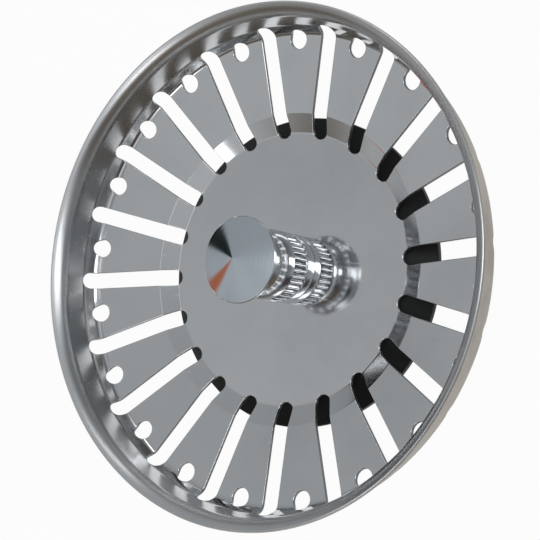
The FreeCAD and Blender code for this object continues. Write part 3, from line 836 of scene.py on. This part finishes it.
def knob_rows():
    """The knob's section from the stud bore out over the barrel to the point of its face."""
    foot_ease, groove_ease, head_ease, rim_ease = 0.1, 0.08, 0.06, 0.05
    slope, tip_share, arc_steps = 0.12, 0.006, 24
    corners = [
        (0, KNOB_BORE_TOP, 0),
        (KNOB_BORE, KNOB_BORE_TOP, 0),
        (KNOB_BORE, GASKET[1], 0),
        (GASKET[0], GASKET[1], 0),
        (GASKET[0], 0, 0),
        (KNOB_BARREL, 0, foot_ease),
        (KNOB_BARREL, KNOB_BASE, groove_ease),
        (KNOB_GROOVE, KNOB_BASE, groove_ease),
        (KNOB_GROOVE, KNOB_KNURL[0], 0),
    ]
    low = [(r, z, 0) for r, z in eased_profile(corners)]
    start, end = KNOB_KNURL
    knurl = [
        (KNOB_BARREL - slope, start, 1),
        (KNOB_BARREL, start + slope, 1),
        (KNOB_BARREL, end - slope, 1),
        (KNOB_BARREL - slope, end, 1),
    ]
    bulge = [(KNOB_BARREL, KNOB_BULGE[0])]
    bulge += arc_points(bulge[0], (KNOB_SHOULDER, KNOB_BULGE[1]), KNOB_BULGE_ROUND, 1, arc_steps)
    under_head = (KNOB_HEAD - KNOB_BEVEL, KNOB_HEAD_UNDER)
    cove = [KNOB_NECK] + arc_points(KNOB_NECK, under_head, KNOB_COVE, -1, arc_steps)
    edge = [
        (*cove[-1], 0),
        (KNOB_HEAD, KNOB_HEAD_UNDER + KNOB_BEVEL, head_ease),
        (KNOB_HEAD, KNOB_EDGE - KNOB_BEVEL, head_ease),
        (KNOB_HEAD - KNOB_BEVEL, KNOB_EDGE, rim_ease),
        (0, KNOB_APEX, 0),
    ]
    edge = eased_profile(edge)[1:-1]
    rim = edge[-1]
    tip = (rim[0] * tip_share, KNOB_APEX + (rim[1] - KNOB_APEX) * tip_share)
    groove = [(KNOB_GROOVE, end), (KNOB_GROOVE, KNOB_BULGE[0])]
    upper = groove + bulge + cove + edge + [tip, (0, KNOB_APEX)]
    rows = low + knurl + [(r, z, 0) for r, z in upper]
    return [(r, z + DISC_TOP, share) for r, z, share in rows]


def knurl_notch(teeth, depth):
    """How deep the knurl is cut at an angle: rounded teeth between rounded notches."""
    width = 0.45

    def cut(angle):
        place = angle * teeth / (2 * pi)
        near = max(0.0, 1 - abs(place - round(place)) / width)
        return depth * near * near * (3 - 2 * near)

    return cut


def seal_rows(rings):
    """The seal's section: flat seat with fine sealing grooves, rounded lip and coned top."""
    seat_in, seat_out = SEAL_POCKET[0] + 0.9, SEAL_EDGE - 1.1
    groove, half, chamfer, chamfer_ease = 0.12, 0.16, 0.5, 0.2
    corners = [(SEAL_BORE, SEAL_POCKET[1], 0), (*SEAL_POCKET, 0.1), (SEAL_POCKET[0], 0, 0.15)]
    for k in range(rings):
        middle = seat_in + (seat_out - seat_in) * (k + 0.5) / rings
        corners += [(middle - half, 0, 0), (middle, groove, 0.08), (middle + half, 0, 0)]
    corners += [
        (SEAL_EDGE - chamfer, 0, chamfer_ease),
        (SEAL_EDGE, chamfer, chamfer_ease),
        (SEAL_EDGE, SEAL_LIP, 0.35),
        (SEAL_HUB, SEAL_TOP, 0.8),
        (SEAL_BORE, SEAL_TOP, 0),
        (SEAL_BORE, SEAL_POCKET[1], 0),
    ]
    return [(r, z, 0) for r, z in eased_profile(corners, 5)]


def half_spring_mesh(name, side, turns, wire):
    """One half of the catch spring, wound from the middle of the bore out to its ball."""
    around, per_turn = 10, 28
    coil_turns = turns / 2
    bm = bmesh.new()
    rings = []
    for k in range(int(per_turn * (coil_turns + 1)) + 1):
        along = SPRING_HALF * min(1.0, k / per_turn / coil_turns)
        angle = 2 * pi * k / per_turn
        ring = []
        for j in range(around):
            tilt = 2 * pi * j / around
            x, reach = along + wire * sin(tilt), SPRING_COIL + wire * cos(tilt)
            spot = (side * x, reach * cos(angle), reach * sin(angle) + SPRING_HEIGHT)
            ring.append(bm.verts.new(Vector(spot) * MM))
        rings.append(ring)
    join_rings(bm, rings)
    ends = [bm.faces.new(ring) for ring in (rings[0], rings[-1])]
    smooth_outwards(bm)
    for end in ends:
        end.smooth = False
    return new_mesh(bm, name)


def show_white(tree, kind, share, plain, output):
    """Puts white in place of a share of a plain surface."""
    white = add_node(tree, kind, {"Color": (1, 1, 1, 1), "Strength": 1.0})
    inputs = {0: share, 1: plain.outputs[0], 2: white.outputs[0]}
    both = add_node(tree, "ShaderNodeMixShader", inputs)
    feed(tree, output, {"Surface": both.outputs[0]})


def pale_floor(tree, look):
    """Pale floor that shows white to the camera and in the metal, and keeps a soft shadow."""
    grain = eased(tree, noise(tree, own_place(tree), 900.0, 3.0), 0.3, 0.7)
    colour = mixed(tree, shade(look.floor, 0.985), (grain, shade(look.floor, 1.0)))
    path = add_node(tree, "ShaderNodeLightPath").outputs
    seen = maths(tree, "MAXIMUM", path["Is Camera Ray"], path["Is Glossy Ray"])
    seen = maths(tree, "MAXIMUM", seen, path["Is Transmission Ray"])
    share = times(tree, seen, look.white_share)
    surface, output = tree.nodes["Principled BSDF"], tree.nodes["Material Output"]
    show_white(tree, "ShaderNodeEmission", share, surface, output)
    return {"Base Color": colour, "Roughness": 0.9}


def make_world():
    """Soft studio room for the metal to show: grey walls, a light strip overhead and panels."""
    world = bpy.data.worlds.new("studio_room")
    world.use_nodes = True
    tree = world.node_tree
    way = add_node(tree, "ShaderNodeTexCoord").outputs["Generated"]
    parts = add_node(tree, "ShaderNodeSeparateXYZ", {0: way}).outputs
    ramp = add_node(tree, "ShaderNodeValToRGB", {0: parts["Z"]})
    elements = ramp.color_ramp.elements
    while len(elements) < len(ROOM_LEVELS):
        elements.new(0.5)
    for element, (place, level) in zip(elements, ROOM_LEVELS):
        element.position = place
        element.color = (*(level * tint for tint in ROOM_TINT), 1)
    colour = ramp.outputs[0]
    low = faded(tree, parts["Z"], *LOW_PART)
    behind = times(tree, eased(tree, parts["X"], *BEHIND), low)
    front = times(tree, eased(tree, parts["Y"], *FRONT), low)
    aside = maths(tree, "ABSOLUTE", maths(tree, "SUBTRACT", parts["X"], STRIP_MIDDLE))
    ends = faded(tree, maths(tree, "ABSOLUTE", parts["Y"]), *STRIP_ENDS)
    above = eased(tree, parts["Z"], *STRIP_FOOT)
    strip = times(tree, faded(tree, aside, *STRIP_SIDES), ends, above)
    colour = mixed(tree, colour, (behind, BEHIND_TONE), (front, FRONT_TONE), (strip, STRIP_TONE))
    inputs = {0: colour, "Scale": eased(tree, parts["Y"], *FALL_OFF)}
    colour = add_node(tree, "ShaderNodeVectorMath", inputs, operation="SCALE").outputs[0]
    turn = maths(tree, "ARCTAN2", parts["Y"], times(tree, parts["X"], -1.0))
    for middle, half, soft, foot, head, tone in PANELS:
        off = maths(tree, "ABSOLUTE", maths(tree, "SUBTRACT", turn, radians(middle)))
        panel = faded(tree, off, radians(half - soft), radians(half + soft))
        rise = eased(tree, parts["Z"], foot - 0.05, foot + 0.02)
        fall = faded(tree, parts["Z"], head - 0.05, head + 0.05)
        colour = mixed(tree, colour, (times(tree, panel, rise, fall), tone))
    room = tree.nodes["Background"]
    feed(tree, room, {"Color": colour})
    seen = add_node(tree, "ShaderNodeLightPath").outputs["Is Camera Ray"]
    show_white(tree, "ShaderNodeBackground", seen, room, tree.nodes["World Output"])
    return world


def add_lamp(name, place, size, power):
    """A soft rectangular lamp that faces the strainer."""
    data = bpy.data.lights.new(name, "AREA")
    data.shape = "RECTANGLE"
    data.size, data.size_y = size
    data.energy = power
    lamp = add_object(name, data)
    lamp.location = place
    lamp.rotation_euler = Vector(place).to_track_quat("Z", "Y").to_euler()


def colour_prop(name, description, default):
    return FloatVectorProperty(
        name=name, description=description, subtype="COLOR", size=3, min=0, max=1, default=default
    )


def share_prop(name, description, default):
    return FloatProperty(name=name, description=description, subtype="FACTOR", min=0, max=1, default=default)


def length_prop(name, description, default, low, high):
    """A length that is given in mm and kept in metres."""
    sizes = {"default": default * MM, "min": low * MM, "max": high * MM}
    return FloatProperty(name=name, description=description, precision=6, unit="LENGTH", **sizes)


def power_prop(name, description, default):
    return FloatProperty(name=name, description=description, unit="POWER", min=0, max=20, default=default)


def count_prop(name, description, default, low, high):
    return IntProperty(name=name, description=description, default=default, min=low, max=high)


class StrainerBasketLook(bpy.types.PropertyGroup):
    """Basket sheet."""

    steel: colour_prop("Steel", "Colour of the stainless sheet", (0.62, 0.63, 0.64))
    # Painted shade: the punched edges get a near-black colour that stands for the dark surroundings their
    # walls reflect, not the steel's own colour
    cut_edge_shade: colour_prop("Cut edge shade", "Colour of the punched edges of slots and holes", (0.16, 0.16, 0.165))
    # Painted reflection: the outer and lower face gets a darker tan colour that stands for the tan
    # surroundings it reflects
    underside_reflection: colour_prop("Underside reflection", "Colour of the dull outer and lower face", (0.36, 0.335, 0.3))
    polish: share_prop("Floor roughness", "Roughness of the polished floor and disc", 0.07)
    satin: share_prop("Rim roughness", "Roughness of the satin wall and rim", 0.28)
    edge_round: length_prop("Edge rounding", "Rounding of the slots' and holes' edges", 0.12, 0.02, 0.28)


class StrainerKnobLook(bpy.types.PropertyGroup):
    """Pull knob and drain post."""

    chrome: colour_prop("Chrome", "Colour of the plating", (0.72, 0.74, 0.76))
    face: colour_prop("Turned face", "Colour of the knob's turned top and of the post", (0.57, 0.62, 0.67))
    gloss: share_prop("Chrome roughness", "Roughness of the plating", 0.12)
    teeth: count_prop("Knurl teeth", "Teeth in the knurled band", 36, 12, 72)
    tooth_depth: length_prop("Tooth depth", "Depth of the knurl", 0.32, 0.05, 0.5)


class StrainerSealLook(bpy.types.PropertyGroup):
    """Rubber pieces."""

    rubber: colour_prop("Rubber", "Colour of the seal and the gasket", (0.006, 0.007, 0.008))
    dullness: share_prop("Rubber roughness", "Roughness of the rubber", 0.42)
    rings: count_prop("Sealing grooves", "Grooves in the seat of the seal", 3, 0, 6)


class StrainerFittingsLook(bpy.types.PropertyGroup):
    """Bare metal pieces under the basket."""

    plain_steel: colour_prop("Plain steel", "Colour of plate, washer, nut and stud", (0.55, 0.56, 0.57))
    brass: colour_prop("Brass", "Colour of the bush in the seal", (0.72, 0.56, 0.28))


class StrainerCatchLook(bpy.types.PropertyGroup):
    """Catch balls and their spring."""

    ball_steel: colour_prop("Ball steel", "Colour of the balls and the spring", (0.66, 0.67, 0.69))
    turns: count_prop("Spring turns", "Turns of the catch spring", 4, 2, 8)
    wire: length_prop("Wire", "Diameter of the spring wire", 0.45, 0.2, 0.5)


class StrainerStageLook(bpy.types.PropertyGroup):
    """Floor and lamps."""

    floor: colour_prop("Floor", "Colour of the floor", (0.86, 0.86, 0.86))
    white_share: share_prop("Plain white", "How far the floor shows plain white to camera and metal", 0.95)
    key_power: power_prop("Key lamp", "Power of the lamp behind the camera", 0.92)
    front_power: power_prop("Front lamp", "Power of the lamp in front", 0.22)
    edge_power: power_prop("Edge lamp", "Power of the narrow lamp", 0.15)


class STRAINER_OT_basket(bpy.types.Operator):
    """Make the pressed basket with its rounded slot and hole edges"""

    bl_idname = "strainer.basket"
    bl_label = "Make Basket"

    def execute(self, context):
        look = context.scene.strainer_basket
        finishes = (
            material("basket_steel", basket_steel, look),
            # Punched edges: painted shade
            material("punched_edge_shade", turned_metal, look.cut_edge_shade, rough=0.42, lines=16000.0),
            # Outer and lower face: painted reflection
            material("underside_painted_reflection", turned_metal, look.underside_reflection, rough=0.4, lines=3000.0),
        )
        mesh = basket_mesh(look.edge_round / MM)
        add_piece("basket_sheet", mesh, finishes, "basket")
        return {"FINISHED"}


class STRAINER_OT_knob(bpy.types.Operator):
    """Make the knob with its knurled band, and finish the gasket in its base"""

    bl_idname = "strainer.knob"
    bl_label = "Make Knob"

    def execute(self, context):
        look = context.scene.strainer_knob
        finishes = (
            material("knob_chrome", chrome, look, look.chrome, lines=7000.0, depth=0.008),
            material("knob_face", chrome, look, look.face, lines=6000.0, depth=0.02),
        )
        notch = knurl_notch(look.teeth, look.tooth_depth / MM)
        mesh = turned_mesh("turned_knob", knob_rows(), look.teeth * STEPS_PER_TOOTH, notch)
        for face in mesh.polygons:
            face.material_index = int(face.center.z > (DISC_TOP + KNOB_EDGE) * MM)
        add_piece("turned_knob", mesh, finishes, "pull_knob")
        show_node("knob_gasket", material("black_rubber", rubber, context.scene.strainer_seal))
        return {"FINISHED"}


class STRAINER_OT_seal(bpy.types.Operator):
    """Make the rubber stopper with its rounded lip and sealing grooves"""

    bl_idname = "strainer.seal"
    bl_label = "Make Seal"

    def execute(self, context):
        look = context.scene.strainer_seal
        mesh = turned_mesh("moulded_seal", seal_rows(look.rings), SEAL_SEGMENTS)
        add_piece("moulded_seal", mesh, [material("black_rubber", rubber, look)], "stopper_seal")
        return {"FINISHED"}


class STRAINER_OT_fittings(bpy.types.Operator):
    """Finish the plate, washer, nut, stud, bush and post under the basket"""

    bl_idname = "strainer.fittings"
    bl_label = "Finish Fittings"

    def execute(self, context):
        look = context.scene.strainer_fittings
        steel = material("plain_steel_bare", turned_metal, look.plain_steel, rough=0.3, lines=5000.0)
        for name in ("backing_plate", "lock_washer", "clamp_nut", "joining_stud"):
            show_node(name, steel)
        brass = material("turned_brass", turned_metal, look.brass, rough=0.28, lines=5000.0)
        show_node("spacer_bush", brass)
        knob = context.scene.strainer_knob
        # The post gets only a little painted shade in its corners
        plating = material("post_chrome", chrome, knob, knob.face, lines=8000.0, depth=0.04, grime=0.12)
        show_node("drain_post", plating)
        return {"FINISHED"}


class STRAINER_OT_catch(bpy.types.Operator):
    """Make the two halves of the catch spring, and finish the balls"""

    bl_idname = "strainer.catch"
    bl_label = "Make Catch"

    def execute(self, context):
        look = context.scene.strainer_catch
        finish = material("ball_steel_ground", turned_metal, look.ball_steel, rough=0.16, lines=12000.0)
        halves = (("spring_half_left", -1, "left_ball_press"), ("spring_half_right", 1, "right_ball_press"))
        for name, side, joint in halves:
            mesh = half_spring_mesh(name, side, look.turns, look.wire / MM / 2)
            piece = add_piece(name, mesh, [finish], "catch_spring")
            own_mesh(piece)
        for name in ("catch_ball_left", "catch_ball_right"):
            show_node(name, finish)
        return {"FINISHED"}


class STRAINER_OT_stage(bpy.types.Operator):
    """Make the floor, the lamps, the room and the camera"""

    bl_idname = "strainer.stage"
    bl_label = "Make Stage"

    def execute(self, context):
        scene = context.scene
        look = scene.strainer_stage
        bm = bmesh.new()
        bmesh.ops.create_circle(bm, cap_ends=True, segments=FLOOR_SEGMENTS, radius=FLOOR_RADIUS)
        floor = add_object("floor", new_mesh(bm, "floor"))
        floor.data.materials.append(material("pale_floor", pale_floor, look))
        floor.location.z = CAD_BOX[0].z
        scene.world = make_world()
        add_lamp("key_lamp", *KEY_LAMP, look.key_power)
        add_lamp("front_lamp", *FRONT_LAMP, look.front_power)
        add_lamp("edge_lamp", *EDGE_LAMP, look.edge_power)
        data = bpy.data.cameras.new("camera")
        data.lens, data.sensor_width = LENS, SENSOR
        data.shift_x, data.shift_y = LENS_SHIFT
        data.clip_start, data.clip_end = CLIP
        right, up = Vector(CAMERA_RIGHT), Vector(CAMERA_UP)
        matrix = Matrix((right, up, right.cross(up))).transposed().to_4x4()
        matrix.translation = Vector(CAMERA_PLACE) * MM
        scene.camera = add_object("camera", data)
        scene.camera.matrix_world = matrix
        scene.view_settings.view_transform = "Standard"
        return {"FINISHED"}


GROUPS = {
    "strainer_basket": (StrainerBasketLook, STRAINER_OT_basket),
    "strainer_knob": (StrainerKnobLook, STRAINER_OT_knob),
    "strainer_seal": (StrainerSealLook, STRAINER_OT_seal),
    "strainer_fittings": (StrainerFittingsLook, STRAINER_OT_fittings),
    "strainer_catch": (StrainerCatchLook, STRAINER_OT_catch),
    "strainer_stage": (StrainerStageLook, STRAINER_OT_stage),
}


class STRAINER_PT_sidebar(bpy.types.Panel):
    """Sizes, colours and operators of the strainer"""

    bl_idname = "STRAINER_PT_sidebar"
    bl_label = "Sink Strainer"
    bl_space_type = "VIEW_3D"
    bl_region_type = "UI"
    bl_category = "Strainer"

    def draw(self, context):
        for name, (look, operator) in GROUPS.items():
            box = self.layout.box()
            for prop in look.__annotations__:
                box.prop(getattr(context.scene, name), prop)
            box.operator(operator.bl_idname)


CLASSES = (*(cls for pair in GROUPS.values() for cls in pair), STRAINER_PT_sidebar)


def register():
    for cls in CLASSES:
        bpy.utils.register_class(cls)
    for name, (look, _) in GROUPS.items():
        setattr(bpy.types.Scene, name, PointerProperty(type=look))


def unregister():
    for name in GROUPS:
        delattr(bpy.types.Scene, name)
    for cls in reversed(CLASSES):
        bpy.utils.unregister_class(cls)


def main():
    register()
    bpy.ops.strainer.basket()
    bpy.ops.strainer.knob()
    bpy.ops.strainer.seal()
    bpy.ops.strainer.fittings()
    bpy.ops.strainer.catch()
    bpy.ops.strainer.stage()


if __name__ == "__main__":
    main()
